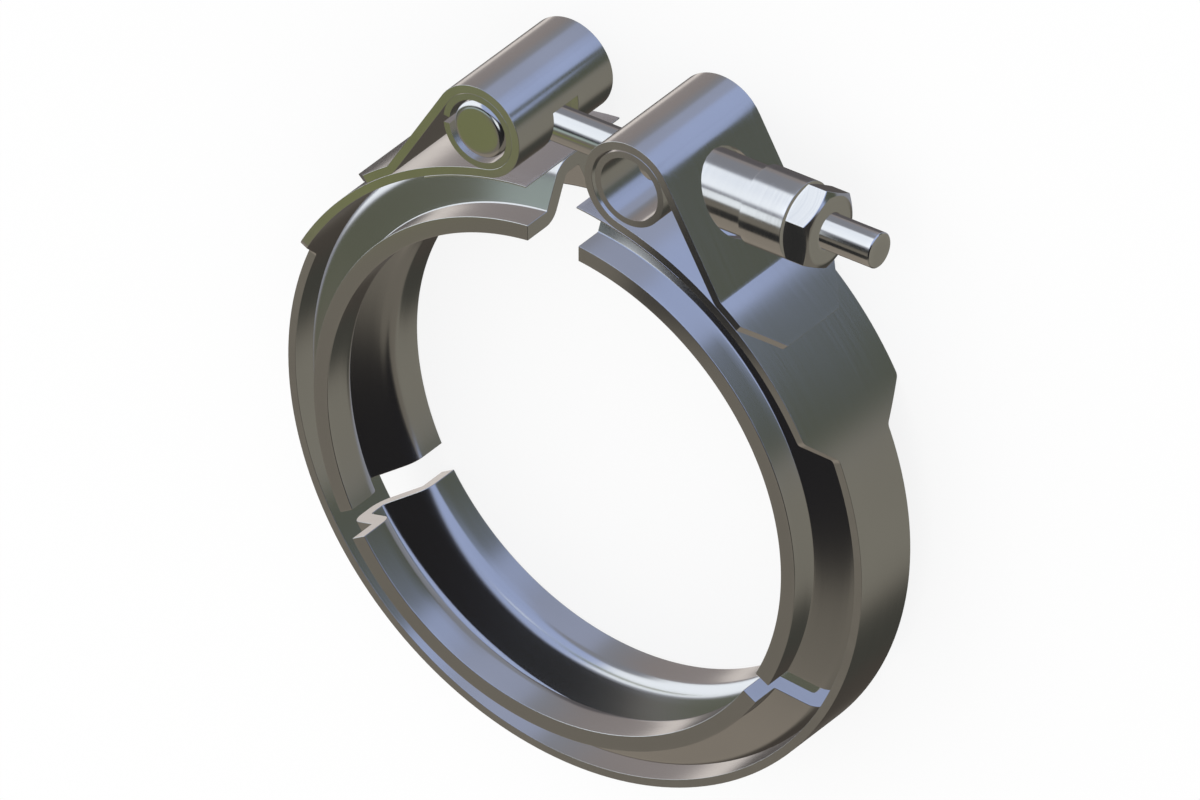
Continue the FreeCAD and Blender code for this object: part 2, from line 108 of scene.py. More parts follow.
def mark_edges(mesh):
    """Sets worn_edge to 1 where two faces turn by more than the sharp angle, else to 0."""
    counts = np.empty(len(mesh.polygons), int)
    normals = np.empty(len(mesh.polygons) * 3)
    edge_of = np.empty(len(mesh.loops), int)
    ends = np.empty(len(mesh.edges) * 2, int)
    mesh.polygons.foreach_get("loop_total", counts)
    mesh.polygons.foreach_get("normal", normals)
    mesh.loops.foreach_get("edge_index", edge_of)
    mesh.edges.foreach_get("vertices", ends)
    order = np.argsort(edge_of, kind="stable")
    sorted_edges = edge_of[order]
    sorted_normals = normals.reshape(-1, 3)[np.repeat(np.arange(len(counts)), counts)[order]]
    paired = sorted_edges[1:] == sorted_edges[:-1]
    agree = (sorted_normals[1:] * sorted_normals[:-1]).sum(axis=1)[paired]
    sharp = sorted_edges[1:][paired][agree < np.cos(np.radians(SHARP_ANGLE))]
    worn = np.zeros(len(mesh.vertices), np.float32)
    worn[ends.reshape(-1, 2)[sharp].ravel()] = 1
    mesh.attributes.new("worn_edge", "FLOAT", "POINT").data.foreach_set("value", worn)


def make_piece(name, surface, material, body, replaced, edge_round=EDGE_ROUND):
    """A piece from a surface in millimetres.

    Its seams are merged, its faces turned outwards and its sharp edges rounded.
    """
    points, uv, faces = surface
    mesh = bpy.data.meshes.new(name)
    mesh.from_pydata((points * MM).tolist(), [], faces.tolist())
    layer = mesh.uv_layers.new(name="Surface")
    layer.data.foreach_set("uv", (uv * MM)[faces.ravel()].astype(np.float32).ravel())
    work = bmesh.new()
    work.from_mesh(mesh)
    bmesh.ops.remove_doubles(work, verts=work.verts, dist=SEAM_WITHIN)
    bmesh.ops.dissolve_degenerate(work, edges=work.edges, dist=TINY_EDGE)
    bmesh.ops.recalc_face_normals(work, faces=work.faces)
    work.to_mesh(mesh)
    work.free()
    mesh.polygons.foreach_set("use_smooth", np.ones(len(mesh.polygons), bool))
    mark_edges(mesh)
    mesh.materials.append(material)
    piece = bpy.data.objects.new(name, mesh)
    bpy.context.scene.collection.objects.link(piece)
    bevel = piece.modifiers.new("rounded_edges", "BEVEL")
    bevel.width = edge_round * MM
    bevel.segments = 2
    bevel.limit_method = "ANGLE"
    bevel.angle_limit = np.radians(SHARP_ANGLE)
    bevel.harden_normals = True
    bevel.use_clamp_overlap = True
    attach(piece, body)
    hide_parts(*replaced)
    return piece


# ---------------------------------------------------------------- the strap

# How far apart points are along the strap's line, and rows along its runs, in millimetres
LINE_STEP = 0.05
RING_STEP = 1.6
SHOULDER_STEP = 0.12
WRAP_STEP = 0.45
FLAP_STEP = 1.2
KINK_STEP = 0.15
TIP_STEP = 1.0

# A row closer than this to the one before is left out
CLOSEST_ROWS = 0.02

# The shoulder's close rows start this far below its low corner and end this far above its high one
SHOULDER_BELOW = 0.7
SHOULDER_ABOVE = 0.8
FILLET_POINTS = 9

# How many points a place on the line is looked up from
LINE_SAMPLES = 2000
HOLE_SAMPLES = 1500

# The strap round the sleeve's hole, from before the wrap's end to past it, and its rings:
# a power below 1 brings them closer together towards the hole
HOLE_BEFORE_WRAP_END = 1.9
HOLE_PAST_WRAP_END = 15.2
HOLE_RINGS = 7
HOLE_CROWDING = 0.7

# Places across the strap as shares of its half width
ACROSS = np.array([-1, -0.97, -0.75, -0.5, -SLOT_HALF / STRAP_HALF, 0,
                   SLOT_HALF / STRAP_HALF, 0.5, 0.75, 0.97, 1])


def chain(start, heading, runs, step):
    """A line of straight and curved runs, each a length and a turn in radians.

    The heading changes evenly along each run, and the place is the running sum of
    its direction. Gives the distance, the place and the heading, closely spaced.
    """
    distance, headings = [np.zeros(1)], [np.array([heading])]
    travelled, facing = 0.0, heading
    for length, turn in runs:
        count = max(2, int(np.ceil(length / step)))
        share = np.linspace(0, 1, count + 1)[1:]
        distance.append(travelled + share * length)
        headings.append(facing + share * turn)
        travelled += length
        facing += turn
    distance, headings = np.concatenate(distance), np.concatenate(headings)
    spans = np.diff(distance)
    middle = (headings[1:] + headings[:-1]) / 2
    half_turn = (headings[1:] - headings[:-1]) / 2
    chord = spans * np.sinc(half_turn / np.pi)
    x = start[0] + np.concatenate([[0], np.cumsum(chord * np.cos(middle))])
    y = start[1] + np.concatenate([[0], np.cumsum(chord * np.sin(middle))])
    return distance, x, y, headings


class StrapHalf:
    """Half of the strap's middle line, from the ring's lowest point to the tip of a tongue.

    The runs are the ring, the wrap round the tube, the straight flap, a small bend
    and the tongue that lies on the ring. side is 1 for +X and -1 for -X.
    """

    def __init__(self, side, loop_angle, flap_normal, wrap_outer):
        self.side = side
        wrap_mid = wrap_outer - STRAP_THICK / 2
        reach = BAND_OUTER - STRAP_THICK + wrap_outer
        lean = np.radians(flap_normal - loop_angle)
        normal = np.radians(flap_normal)
        kink = np.arccos((reach * np.cos(lean) + wrap_mid) / TONGUE_MID)
        landing = normal - kink
        flap_length = reach * np.sin(lean) - TONGUE_MID * np.sin(kink)
        cut_back = KINK_RADIUS * np.tan(kink / 2)
        wrap_turn = np.radians(180 - loop_angle) + normal
        tongue = TONGUE_MID * (np.radians(TONGUE_TIP) - landing) - cut_back
        runs = [
            (RING_MID * np.radians(180 - loop_angle), np.radians(180 - loop_angle)),
            (wrap_mid * wrap_turn, -wrap_turn),
            (flap_length - cut_back, 0.0),
            (KINK_RADIUS * kink, kink),
            (tongue, -tongue / TONGUE_MID),
        ]
        self.ends = np.cumsum([length for length, _ in runs])
        self.line = chain((0.0, -RING_MID), 0.0, runs, LINE_STEP)

    def surface(self, distance, across, offset):
        """The point at a distance along the line, across the strap (Z) and off its middle line."""
        along, x, y, heading = self.line
        turn = np.interp(distance, along, heading)
        px = np.interp(distance, along, x) - offset * np.sin(turn)
        py = np.interp(distance, along, y) + offset * np.cos(turn)
        return np.stack([self.side * px, py, across + 0 * px], axis=-1)

    def half_width(self, distance):
        """Half the strap's width: full, narrowed at the waist, cut back at the tongue's tip."""
        along, _, y, _ = self.line
        ring_end, tip = self.ends[0], self.ends[4]
        waist = waist_half_width(np.interp(distance, along, y))
        from_tip = np.clip((tip - distance) / TONGUE_CUT_ALONG, 0, 1)
        tongue = STRAP_HALF - TONGUE_CUT_ACROSS * (1 - from_tip)
        past_ring = np.where(distance > self.ends[3], tongue, STRAP_HALF)
        return np.where(distance <= ring_end, waist, past_ring)

    def ring_distance_at(self, height):
        """The distance along the ring where its middle line is at a height."""
        samples = np.linspace(0.0, self.ends[0], LINE_SAMPLES)
        heights = self.surface(samples, 0.0, 0.0)[:, 1]
        order = np.argsort(heights)
        return np.interp(height, heights[order], samples[order])


def waist_half_width(height):
    """Half width of the ring's strap against height: waist, slope and full, corners filleted.

    The slope turns by the same angle at each corner, and each fillet is an arc that
    starts and ends its radius times the tangent of half that angle from the corner.
    """
    rise, run = STRAP_HALF - WAIST_HALF, SHOULDER_Y - NARROW_Y
    turn = np.arctan2(rise, run)
    reach = SHOULDER_FILLET * np.tan(turn / 2)
    sweep = np.linspace(0, turn, FILLET_POINTS)
    low_y = NARROW_Y - reach + SHOULDER_FILLET * np.sin(sweep)
    low_w = WAIST_HALF + SHOULDER_FILLET * (1 - np.cos(sweep))
    high_y = SHOULDER_Y + reach - SHOULDER_FILLET * np.sin(sweep[::-1])
    high_w = STRAP_HALF - SHOULDER_FILLET * (1 - np.cos(sweep[::-1]))
    return np.interp(height, np.concatenate([low_y, high_y]), np.concatenate([low_w, high_w]))


def spaced(start, finish, step):
    """Places from start to finish, no further apart than a step."""
    return np.linspace(start, finish, max(2, int(np.ceil(abs(finish - start) / step)) + 1))


def strap_rows(half, distance, keep, end_wall=False):
    """A length of strap as a closed sheet: two faces half the thickness off the middle line.

    keep says which cells of the grid are metal. A wall joins the faces wherever a kept
    cell meets one that isn't, along both sides, and at the far end if it asks for one.
    """
    width = half.half_width(distance)
    s = np.repeat(distance[:, None], len(ACROSS), axis=1)
    t = width[:, None] * ACROSS[None, :]
    rows, columns = s.shape
    shift = rows * columns
    faces = [grid_faces(rows, columns, 0, keep), grid_faces(rows, columns, shift, keep)]
    index = np.arange(shift).reshape(rows, columns)
    padded = np.zeros((rows + 1, columns + 1), bool)
    padded[1:-1, 1:-1] = keep
    padded[0] = padded[1]
    if not end_wall:
        padded[-1] = padded[-2]
    along_row = (padded[:-1, 1:-1] != padded[1:, 1:-1])
    along_column = (padded[1:-1, :-1] != padded[1:-1, 1:])
    for first, second in ((index[:, :-1][along_row], index[:, 1:][along_row]),
                          (index[:-1][along_column], index[1:][along_column])):
        faces.append(np.stack([first, second, second + shift, first + shift], axis=-1))
    points = [half.surface(s, t, offset).reshape(-1, 3)
              for offset in (STRAP_THICK / 2, -STRAP_THICK / 2)]
    uv = np.stack([half.side * s, t], axis=-1).reshape(-1, 2)
    return np.concatenate(points), np.concatenate([uv, uv]), np.concatenate(faces)


def strap_hole(half, first, last, centre_y, radius):
    """The length of strap round a hole bored along X: rings from its outline to the hole.

    Each ring is a straight blend, in distance and width, between the outline's points and
    the hole's points at the same bearing. A face's hole points lie at the bore's circle
    in height and width.
    """
    sides = spaced(first, last, TIP_STEP)
    edge_low = np.stack([np.full(len(ACROSS), first), ACROSS * STRAP_HALF], axis=-1)
    edge_high = np.stack([sides, np.full(len(sides), STRAP_HALF)], axis=-1)
    edge_back = np.stack([np.full(len(ACROSS), last), ACROSS[::-1] * STRAP_HALF], axis=-1)
    edge_return = np.stack([sides[::-1], np.full(len(sides), -STRAP_HALF)], axis=-1)
    outline = np.concatenate([edge_low[:-1], edge_high[:-1], edge_back[:-1], edge_return])
    samples = np.linspace(first, last, HOLE_SAMPLES)
    parts, rims = [], []
    for offset in (STRAP_THICK / 2, -STRAP_THICK / 2):
        heights = half.surface(samples, 0.0, offset)[:, 1]
        middle = np.interp(-centre_y, -heights, samples)
        bearing = np.arctan2(outline[:, 1], outline[:, 0] - middle)
        hole_y = centre_y - radius * np.cos(bearing)
        hole = np.stack([np.interp(-hole_y, -heights, samples), radius * np.sin(bearing)],
                        axis=-1)
        share = (np.linspace(0, 1, HOLE_RINGS) ** HOLE_CROWDING)[:, None, None]
        rings = outline[None] * (1 - share) + hole[None] * share
        points = half.surface(rings[..., 0], rings[..., 1], offset)
        parts.append(grid(points, np.stack([half.side * rings[..., 0], rings[..., 1]], axis=-1)))
        rims.append((points[0], points[-1], rings[-1]))
    outer, inner = rims
    bore = np.stack([outer[1], inner[1]])
    parts.append(grid(bore, np.stack([outer[2], inner[2]])))
    start = len(ACROSS) - 1
    for begin, end in ((start, start + len(sides)),
                       (2 * start + len(sides) - 1, 2 * start + 2 * len(sides) - 1)):
        wall = np.stack([outer[0][begin:end], inner[0][begin:end]])
        parts.append(grid(wall, np.stack([outline[begin:end], outline[begin:end]])))
    return join(parts)


def strap_distances(half, slot):
    """Rows along half the strap: close together in the wrap, the bend and the shoulder.

    The slot's two ends are rows. Any other row too close to the one before is left out.
    """
    ring_end, wrap_end, flap_end, kink_end, tip = half.ends
    shoulder = [half.ring_distance_at(height) for height in np.arange(
        NARROW_Y - SHOULDER_BELOW, SHOULDER_Y + SHOULDER_ABOVE, SHOULDER_STEP)]
    distance = np.unique(np.round(np.concatenate([
        spaced(0, ring_end, RING_STEP),
        shoulder,
        spaced(ring_end, wrap_end, WRAP_STEP),
        spaced(wrap_end, flap_end, FLAP_STEP),
        spaced(flap_end, kink_end, KINK_STEP),
        spaced(kink_end, tip - TONGUE_CUT_ALONG, FLAP_STEP),
        spaced(tip - TONGUE_CUT_ALONG, tip, TIP_STEP),
        slot,
    ]), 6))
    wanted = np.concatenate([[True], np.diff(distance) > CLOSEST_ROWS])
    wanted |= np.isin(distance, np.round(slot, 6))
    return distance[wanted]


def slot_span(half):
    """Where the slot for the shank starts and ends along the strap, on the wrap's gap side."""
    ring_end, wrap_end = half.ends[:2]
    samples = np.linspace(ring_end, (ring_end + wrap_end) / 2, LINE_SAMPLES)
    heights = half.surface(samples, 0.0, 0.0)[:, 1]
    rising = np.argmin(heights)
    return np.interp([SLOT_LOW, SLOT_HIGH], heights[rising:], samples[rising:])


def make_strap(material):
    """The folded strap: two halves that meet at the ring's lowest point."""
    parts = []
    for half in (StrapHalf(1, *RIGHT_LOOP), StrapHalf(-1, *LEFT_LOOP)):
        slot = slot_span(half)
        distance = strap_distances(half, slot)
        middle = (distance[:-1] + distance[1:]) / 2
        in_slot = (middle > slot[0]) & (middle < slot[1])
        columns = (ACROSS[:-1] + ACROSS[1:]) / 2
        keep = ~(in_slot[:, None] & (np.abs(columns) < SLOT_HALF / STRAP_HALF)[None, :])
        if half.side < 0:
            parts.append(strap_rows(half, distance, keep, end_wall=True))
            continue
        wrap_end = half.ends[1]
        first = distance[np.argmin(np.abs(distance - (wrap_end - HOLE_BEFORE_WRAP_END)))]
        last = distance[np.argmin(np.abs(distance - (wrap_end + HOLE_PAST_WRAP_END)))]
        before, after = distance <= first, distance >= last
        parts.append(strap_rows(half, distance[before], keep[:before.sum() - 1]))
        parts.append(strap_hole(half, first, last, BOLT_Y, SLEEVE_HOLE))
        parts.append(strap_rows(half, distance[after], keep[len(distance) - after.sum():],
                                end_wall=True))
    return make_piece("strap", join(parts), material, "band", ["outer_band"])


# ---------------------------------------------------------------- retainers and liners

BORE_RADIUS = 39.7
CROWN_OUTER = 48.71
RETAINER_THICK = 2.5
RETAINER_HALF = 10.7
FOOT_LENGTH = 4.6
FLANGE_ANGLE = 25.0
FOOT_BEND = 0.3
CROWN_BEND = 0.8
TOP_GAP = 8.8
LOWER_GAP = 4.2
RETAINER_ROUND = 0.10

# How many points each run of the section has, and how many sections and cap rows a retainer
EDGE_POINTS = 4
FOOT_BEND_POINTS = 9
FLANGE_POINTS = 6
CROWN_BEND_POINTS = 11
SECTIONS = 91
CAP_ROWS = 4


def bend_points(centre, side, radius, count):
    """Points on a bend's arc, turning from the level side to the flange."""
    turn = np.radians(90 - FLANGE_ANGLE) * np.linspace(0, 1, count)
    return np.stack([centre[0] + side * radius * np.cos(turn),
                     centre[1] + side * radius * np.sin(turn)], axis=-1)


def retainer_faces():
    """The two faces of the V section as (radius, height), from one foot's edge to the other's.

    Both faces of each bend are arcs about one centre, a sheet's thickness apart.
    """
    half = RETAINER_THICK / 2
    half_turn = np.radians(90 - FLANGE_ANGLE) / 2
    foot_middle, crown_middle = BORE_RADIUS + half, CROWN_OUTER - half
    foot_corner = RETAINER_HALF - FOOT_LENGTH - half * np.tan(half_turn)
    crown_corner = foot_corner - (crown_middle - foot_middle) * np.tan(np.radians(FLANGE_ANGLE))
    foot_centre = (foot_middle + half + FOOT_BEND,
                   foot_corner + (half + FOOT_BEND) * np.tan(half_turn))
    crown_centre = (crown_middle - half - CROWN_BEND,
                    crown_corner - (half + CROWN_BEND) * np.tan(half_turn))
    faces = []
    for foot_bend, crown_bend in ((FOOT_BEND, CROWN_BEND + RETAINER_THICK),
                                  (FOOT_BEND + RETAINER_THICK, CROWN_BEND)):
        foot = bend_points(foot_centre, -1, foot_bend, FOOT_BEND_POINTS)
        crown = bend_points(crown_centre, 1, crown_bend, CROWN_BEND_POINTS)[::-1]
        heights = np.linspace(RETAINER_HALF, foot[0, 1], EDGE_POINTS)[:-1]
        edge = np.stack([np.full(len(heights), foot[0, 0]), heights], axis=-1)
        share = np.linspace(0, 1, FLANGE_POINTS)[1:-1, None]
        flange = foot[-1] + (crown[0] - foot[-1]) * share
        upper = np.concatenate([edge, foot, flange, crown])
        faces.append(np.concatenate([upper, upper[::-1] * [1, -1]]))
    return faces


def swept(profile, start_angle, end_angle, steps):
    """A profile of (radius, height) carried round Z, each point between its own two angles."""
    share = np.linspace(0, 1, steps)[:, None]
    angle = start_angle + (end_angle - start_angle) * share
    radius, height = profile[:, 0], profile[:, 1] + 0 * angle
    points = np.stack([radius * np.cos(angle), radius * np.sin(angle), height], axis=-1)
    along = np.concatenate([[0], np.cumsum(np.linalg.norm(np.diff(profile, axis=0), axis=1))])
    uv = np.stack([radius.mean() * angle, along + 0 * angle], axis=-1)
    return points, uv


def between(first, second):
    """Rows of points straight from one edge to another."""
    share = np.linspace(0, 1, CAP_ROWS)[:, None, None]
    return first[None] * (1 - share) + second[None] * share


def make_retainer(name, middle, gap_before, gap_after, material):
    """A third of the V section ring.

    At a radius r an end lies asin(half the gap / r) short of the middle of its gap.
    """
    grids = []
    for profile in retainer_faces():
        radius = profile[:, 0]
        start = np.radians(middle - 60) + np.arcsin(gap_before / 2 / radius)
        end = np.radians(middle + 60) - np.arcsin(gap_after / 2 / radius)
        grids.append(swept(profile, start[None, :], end[None, :], SECTIONS))
    (outer, outer_uv), (inner, inner_uv) = grids
    parts = [grid(outer, outer_uv), grid(inner, inner_uv)]
    for row in (0, -1):
        cap = between(outer[row], inner[row])
        parts.append(grid(cap, cap[..., [0, 2]]))
    for column in (0, -1):
        edge_uv = outer_uv[:, column]
        parts.append(grid(between(outer[:, column], inner[:, column]),
                          between(edge_uv, edge_uv + [0, RETAINER_THICK])))
    return make_piece(name + "_section", join(parts), material, "band", [name],
                      RETAINER_ROUND)


LINER_OUTER = 48.98
LINER_INNER = 48.73
LINER_END = 27.0
LINER_ROWS = 25
LINER_COLUMNS = 6
LINER_ROUND = 0.05


def make_liner(name, side, material):
    """A thin shell between two cylinders, from the top gap's edge to a radial end."""
    faces = []
    height = np.linspace(-STRAP_HALF, STRAP_HALF, LINER_COLUMNS)
    for radius in (LINER_OUTER, LINER_INNER):
        gap = np.arcsin(TOP_GAP / 2 / radius)
        angle = np.linspace(gap, np.radians(LINER_END), LINER_ROWS)[:, None]
        points = np.stack([side * radius * np.sin(angle) + 0 * height,
                           radius * np.cos(angle) + 0 * height, height + 0 * angle], axis=-1)
        uv = np.stack([radius * angle + 0 * height, height + 0 * angle], axis=-1)
        faces.append((points, uv))
    (outer, outer_uv), (inner, inner_uv) = faces
    parts = [grid(outer, outer_uv), grid(inner, inner_uv)]
    for pick in (np.s_[0], np.s_[-1], np.s_[:, 0], np.s_[:, -1]):
        parts.append(grid(np.stack([outer[pick], inner[pick]]),
                          np.stack([outer_uv[pick], inner_uv[pick]])))
    return make_piece(name + "_sheet", join(parts), material, "band", [name],
                      LINER_ROUND)


# ---------------------------------------------------------------- bolt, sleeve and nut

def turned(profile, centre, axis, steps):
    """A profile of (place along the axis, radius) turned round X or Z through a centre."""
    angle = np.linspace(0, 2 * np.pi, steps + 1)[:, None]
    along, radius = profile[:, 0], profile[:, 1]
    level = along + 0 * angle
    round_a, round_b = radius * np.cos(angle), radius * np.sin(angle)
    if axis == "X":
        points = np.stack([centre[0] + level, centre[1] + round_a, round_b], axis=-1)
    else:
        points = np.stack([centre[0] + round_a, centre[1] + round_b, level], axis=-1)
    walked = np.concatenate([[0], np.cumsum(np.linalg.norm(np.diff(profile, axis=0), axis=1))])
    uv = np.stack([walked + 0 * angle, angle * radius.max() + 0 * walked], axis=-1)
    return grid(points, uv)


def along_profile(corners, step):
    """Corners of a profile with points added along its runs."""
    corners = np.array(corners, float)
    pieces = [np.linspace(a, b, max(2, int(np.ceil(np.linalg.norm(b - a) / step)) + 1))[:-1]
              for a, b in zip(corners[:-1], corners[1:])]
    return np.concatenate(pieces + [corners[-1:]])


PIN_RADIUS = 4.45
PIN_HALF = 11.1
PIN_ROUND = 1.0
SHANK_RADIUS = 2.7
SHANK_END = 48.905
SHANK_CHAMFER = 0.15
BOLT_ROUND = 0.05
PIN_STEPS = 96
PIN_ROUND_POINTS = 7
PIN_FACE_POINTS = 5
SHANK_STEPS = 72
SHANK_POINTS_APART = 3.0


def make_t_bolt(material):
    """The cross pin with rounded ends, and the shank that grows out of it."""
    sweep = np.linspace(0, np.pi / 2, PIN_ROUND_POINTS)
    top = np.stack([PIN_HALF - PIN_ROUND * (1 - np.cos(sweep)),
                    PIN_RADIUS - PIN_ROUND + PIN_ROUND * np.sin(sweep)], axis=-1)
    radii = np.linspace(0, PIN_RADIUS - PIN_ROUND, PIN_FACE_POINTS)[:-1]
    face = np.stack([np.full(len(radii), PIN_HALF), radii], axis=-1)
    upper = np.concatenate([face, top])
    pin = np.concatenate([upper, upper[::-1] * [-1, 1]])
    length = SHANK_END - LEFT_CENTRE[0]
    shank = along_profile([(0, 0), (0, SHANK_RADIUS), (length - SHANK_CHAMFER, SHANK_RADIUS),
                           (length, SHANK_RADIUS - SHANK_CHAMFER), (length, 0)],
                          SHANK_POINTS_APART)
    surface = join([turned(pin, LEFT_CENTRE, "Z", PIN_STEPS),
                    turned(shank, (LEFT_CENTRE[0], BOLT_Y), "X", SHANK_STEPS)])
    return make_piece("bolt", surface, material, "t_bolt", ["t_bolt"], BOLT_ROUND)


SLEEVE_START = 19.605
COLLAR_START = 28.705
NUT_SEAT = 35.905
SLEEVE_BORE = 2.8
SLEEVE_RADIUS = 5.4
COLLAR_RADIUS = 5.95
SLEEVE_ROUND = 0.06
SLEEVE_STEPS = 120
SLEEVE_POINTS_APART = 2.0


def make_sleeve(material):
    """The spacer: bore, thin body and thicker collar, turned round the bolt's axis."""
    profile = along_profile([(SLEEVE_START, SLEEVE_BORE), (NUT_SEAT, SLEEVE_BORE),
                             (NUT_SEAT, COLLAR_RADIUS), (COLLAR_START, COLLAR_RADIUS),
                             (COLLAR_START, SLEEVE_RADIUS), (SLEEVE_START, SLEEVE_RADIUS),
                             (SLEEVE_START, SLEEVE_BORE)], SLEEVE_POINTS_APART)
    surface = turned(profile, (0, BOLT_Y), "X", SLEEVE_STEPS)
    return make_piece("spacer_sleeve", surface, material, "sleeve", ["sleeve"],
                      SLEEVE_ROUND)


NUT_HALF_FLAT = 5.55
NUT_FACE_RADIUS = 5.2
NUT_HEIGHT = 4.5
NUT_BORE = 2.75
NUT_CHAMFER = 30.0
NUT_ROUND = 0.08
NUT_STEPS_PER_FLAT = 16
NUT_POINTS_PER_RUN = 5


def make_nut(material):
    """A hexagon nut: the flat's radius over the cosine of the angle from the flat's middle.

    Both ends are bevelled by a cone that starts at the end face's circle.
    """
    angle = np.linspace(0, 2 * np.pi, 6 * NUT_STEPS_PER_FLAT + 1)[:, None]
    from_middle = angle % (np.pi / 3) - np.pi / 6
    side = NUT_HALF_FLAT / np.cos(from_middle)
    drop = (side - NUT_FACE_RADIUS) * np.tan(np.radians(NUT_CHAMFER))
    corners = [(NUT_BORE, 0.0), (NUT_FACE_RADIUS, 0.0), (side, drop), (side, NUT_HEIGHT - drop),
               (NUT_FACE_RADIUS, NUT_HEIGHT), (NUT_BORE, NUT_HEIGHT), (NUT_BORE, 0.0)]
    share = np.linspace(0, 1, NUT_POINTS_PER_RUN)[1:]
    radii, levels = [np.full_like(angle, NUT_BORE)], [np.zeros_like(angle)]
    for (r0, x0), (r1, x1) in zip(corners[:-1], corners[1:]):
        radii.append(r0 + (r1 - r0) * share + 0 * angle)
        levels.append(x0 + (x1 - x0) * share + 0 * angle)
    radius, level = np.concatenate(radii, axis=1), np.concatenate(levels, axis=1)
    points = np.stack([NUT_SEAT + level, BOLT_Y + radius * np.cos(angle),
                       radius * np.sin(angle)], axis=-1)
    uv = np.stack([level + radius, angle * NUT_HALF_FLAT + 0 * level], axis=-1)
    return make_piece("hexagon_nut", grid(points, uv), material, "nut", ["nut"],
                      NUT_ROUND)


# ---------------------------------------------------------------- materials

# The steel's finish: clouds and rubbed patches per metre, how much noise counts as rubbed,
# what full wear adds to the roughness, what a cloud takes from the tone, and the relief's
# depth in metres
CLOUDS_PER_METRE = 55.0
RUBBED_PER_METRE = 260.0
RUBBED_FROM = 0.35
WEAR_ROUGHENS = 0.25
CLOUD_TONE = -1.5
RELIEF_DEPTH = 0.00002


def new_group(name, inputs, outputs):
    """An empty node group with named sockets, each (name, socket type, default)."""
    group = bpy.data.node_groups.new(name, "ShaderNodeTree")
    for label, kind, default in inputs:
        socket = group.interface.new_socket(label, in_out="INPUT", socket_type=kind)
        if default is not None:
            socket.default_value = default
    for label, kind in outputs:
        group.interface.new_socket(label, in_out="OUTPUT", socket_type=kind)
    return group, group.nodes.new("NodeGroupInput"), group.nodes.new("NodeGroupOutput")


def math_node(tree, operation, first, second):
    """One operation on two values, each a number or another node's output."""
    node = tree.nodes.new("ShaderNodeMath")
    node.operation = operation
    for socket, value in zip(node.inputs, (first, second)):
        if isinstance(value, (int, float)):
            socket.default_value = value
        else:
            tree.links.new(value, socket)
    return node.outputs[0]


def noise_node(tree, vector, scale, detail):
    """Soft noise from 0 to 1 at a place, with so many features a unit."""
    node = tree.nodes.new("ShaderNodeTexNoise")
    node.inputs["Scale"].default_value = scale
    node.inputs["Detail"].default_value = detail
    tree.links.new(vector, node.inputs["Vector"])
    return node.outputs["Fac"]


def build_steel_finish():
    """Steel's surface: grain, soft clouds of polish and tone, and wear at its sharp edges."""
    group, given, out = new_group("steel_finish", [
        ("Place", "NodeSocketVector", None),
        ("Grain place", "NodeSocketVector", None),
        ("Color", "NodeSocketColor", (0.6, 0.6, 0.6, 1)),
        ("Roughness", "NodeSocketFloat", 0.2),
        ("Grain", "NodeSocketFloat", 0.05),
        ("Clouding", "NodeSocketFloat", 0.05),
        ("Edge", "NodeSocketFloat", 0.0),
        ("Wear", "NodeSocketFloat", 0.6),
    ], [
        ("Color", "NodeSocketColor"),
        ("Roughness", "NodeSocketFloat"),
        ("Height", "NodeSocketFloat"),
    ])
    lines = noise_node(group, given.outputs["Grain place"], 1.0, 3)
    clouds = noise_node(group, given.outputs["Place"], CLOUDS_PER_METRE, 1)
    lines_off = math_node(group, "SUBTRACT", lines, 0.5)
    clouds_off = math_node(group, "SUBTRACT", clouds, 0.5)
    grain = math_node(group, "MULTIPLY", lines_off, given.outputs["Grain"])
    cloud = math_node(group, "MULTIPLY", clouds_off, given.outputs["Clouding"])
    rubbed = noise_node(group, given.outputs["Place"], RUBBED_PER_METRE, 2)
    patchy = math_node(group, "MAXIMUM", math_node(group, "SUBTRACT", rubbed, RUBBED_FROM), 0.0)
    near_edge = math_node(group, "POWER", given.outputs["Edge"], 2.0)
    worn = math_node(group, "MULTIPLY", math_node(group, "MULTIPLY", near_edge, patchy),
                     given.outputs["Wear"])
    rough = math_node(group, "ADD", given.outputs["Roughness"], grain)
    rough = math_node(group, "ADD", rough, cloud)
    rough = math_node(group, "ADD", rough, math_node(group, "MULTIPLY", worn, WEAR_ROUGHENS))
    tone = math_node(group, "ADD", 1.0, math_node(group, "MULTIPLY", cloud, CLOUD_TONE))
    tone = math_node(group, "ADD", tone, worn)
    tint = group.nodes.new("ShaderNodeVectorMath")
    tint.operation = "SCALE"
    group.links.new(given.outputs["Color"], tint.inputs[0])
    group.links.new(tone, tint.inputs["Scale"])
    group.links.new(tint.outputs[0], out.inputs["Color"])
    group.links.new(rough, out.inputs["Roughness"])
    group.links.new(lines, out.inputs["Height"])
    return group


STEEL_FINISH = build_steel_finish()


